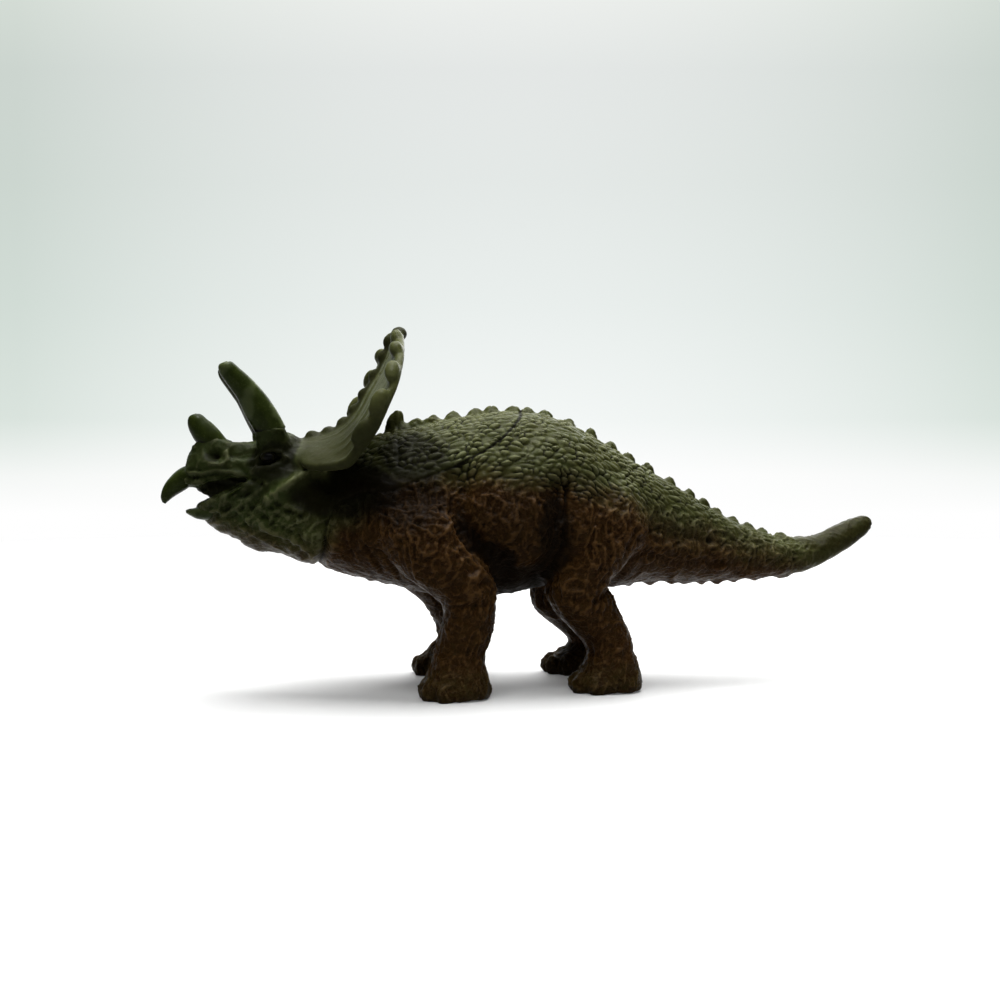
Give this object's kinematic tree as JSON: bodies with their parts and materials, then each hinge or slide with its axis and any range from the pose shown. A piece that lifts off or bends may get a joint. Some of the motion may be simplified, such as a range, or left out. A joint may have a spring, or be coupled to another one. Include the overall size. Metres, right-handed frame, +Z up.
{
  "type": "toy horned dinosaur",
  "caption": "Toy horned dinosaur figure with a raised neck frill, walking with its mouth open; head, frill, horns, beak pieces and legs are seated in a torso with a tail.",
  "frame": {"origin": "bottom centre of the bounding box, on the ground under the figure", "axes": "+X towards the tail, +Y towards the figure's right side, +Z up; the head faces -X"},
  "size_m": [0.1498, 0.0462, 0.0733],
  "materials": {
    "skin_green": "satin green paint over brown soft plastic",
    "skin_olive": "satin brown with a green overspray on the back",
    "skin_brown": "satin brown",
    "horn_green": "semi-gloss green"
  },
  "bodies": {
    "root": {"torso": "skin_olive", "head": "skin_green", "frill": "skin_green", "upper_beak": "horn_green", "lower_beak": "horn_green", "nose_horn": "horn_green", "brow_horn_left": "horn_green", "brow_horn_right": "horn_green", "fore_leg_left": "skin_brown", "fore_leg_right": "skin_brown", "hind_leg_left": "skin_brown", "hind_leg_right": "skin_brown"}
  },
  "joints": []
}
